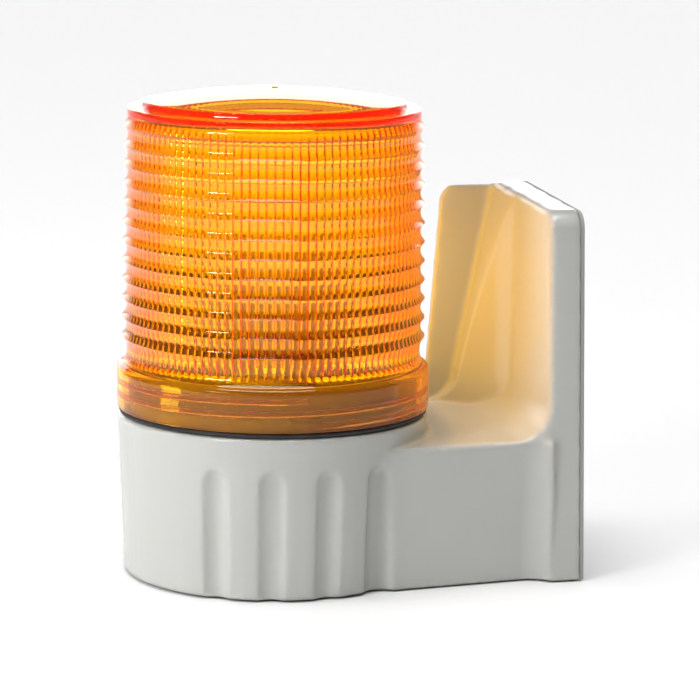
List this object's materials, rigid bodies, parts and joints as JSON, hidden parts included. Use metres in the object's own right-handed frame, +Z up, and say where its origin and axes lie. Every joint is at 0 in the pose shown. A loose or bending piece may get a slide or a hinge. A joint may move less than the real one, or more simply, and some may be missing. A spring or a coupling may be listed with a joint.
{
  "type": "wall mounted warning light",
  "caption": "Amber warning light: ringed screw-on lens on a round grey housing, carried by a hollow arm and wall plate with a side cheek, with a light unit and driver inside.",
  "frame": {"origin": "on the wall, at the middle of the four wall holes and of the wall plate's height and width", "axes": "+Z up along the lamp's axis, +Y into the wall, +X along the wall with the side cheek on the -X side"},
  "size_m": [0.125, 0.1785, 0.194],
  "materials": {
    "grey_abs": "satin moulded, light grey",
    "grey_abs_matt": "fine matt",
    "zinc_steel": "zinc plated",
    "black_rubber": "matt",
    "grey_foam": "closed-cell foam",
    "steel": "bright zinc",
    "white_nylon": "matt",
    "amber_polycarbonate": "clear amber, polished",
    "black_plastic": "fine matt",
    "column_aluminium": "extruded",
    "white_board": "white solder resist",
    "led_lens": "clear phosphor dome",
    "brass": "plain",
    "green_board": "green solder resist",
    "blue_sleeve": "shrink sleeve",
    "copper_winding": "enamelled copper wire",
    "red_insulation": "insulated wire",
    "terminal_green": "moulded"
  },
  "bodies": {
    "base": {"housing": "grey_abs", "wall_bracket": "zinc_steel", "wall_gasket": "grey_foam", "lock_screws": "steel", "lock_nuts": "steel", "cable_grommet": "black_rubber", "cable_clamp": "white_nylon", "cable_clamp_screws": "steel", "bottom_cover": "grey_abs_matt", "bottom_cover_seal": "black_rubber", "bottom_cover_screws": "steel", "chassis_plate": "black_plastic", "chassis_screws": "steel", "led_column": "column_aluminium", "led_boards": "white_board", "side_leds": "led_lens", "top_board": "white_board", "top_leds": "led_lens", "column_screw": "steel", "column_nut": "steel", "board_standoffs": "brass", "driver_board": "green_board", "board_screws": "steel", "filter_capacitor": "blue_sleeve", "driver_inductor": "copper_winding", "driver_chips": "black_plastic", "led_connector": "white_nylon", "led_lead": "red_insulation", "terminal_block": "terminal_green", "terminal_screws": "steel", "mode_switch": "black_plastic", "earth_screw": "brass"},
    "gasket_ring": {"lens_gasket": "black_rubber"},
    "lens": {"lens": "amber_polycarbonate"},
    "mode_slider": {"mode_slider": "white_nylon"}
  },
  "joints": [
    {"name": "lens_rise", "type": "slide", "parent": "base", "child": "gasket_ring", "axis": [0, 0, 1], "range_m": [0, 0.01]},
    {"name": "lens_turn", "type": "hinge", "parent": "gasket_ring", "child": "lens", "pos_m": [0, -0.116, 0], "axis": [0, 0, 1], "range_deg": [0, 720]},
    {"name": "mode_select", "type": "slide", "parent": "base", "child": "mode_slider", "axis": [1, 0, 0], "range_m": [0, 0.004]}
  ],
  "couplings": [
    {"joint": "lens_rise", "follows": "lens_turn", "m_per_rad": 0.00079577}
  ]
}
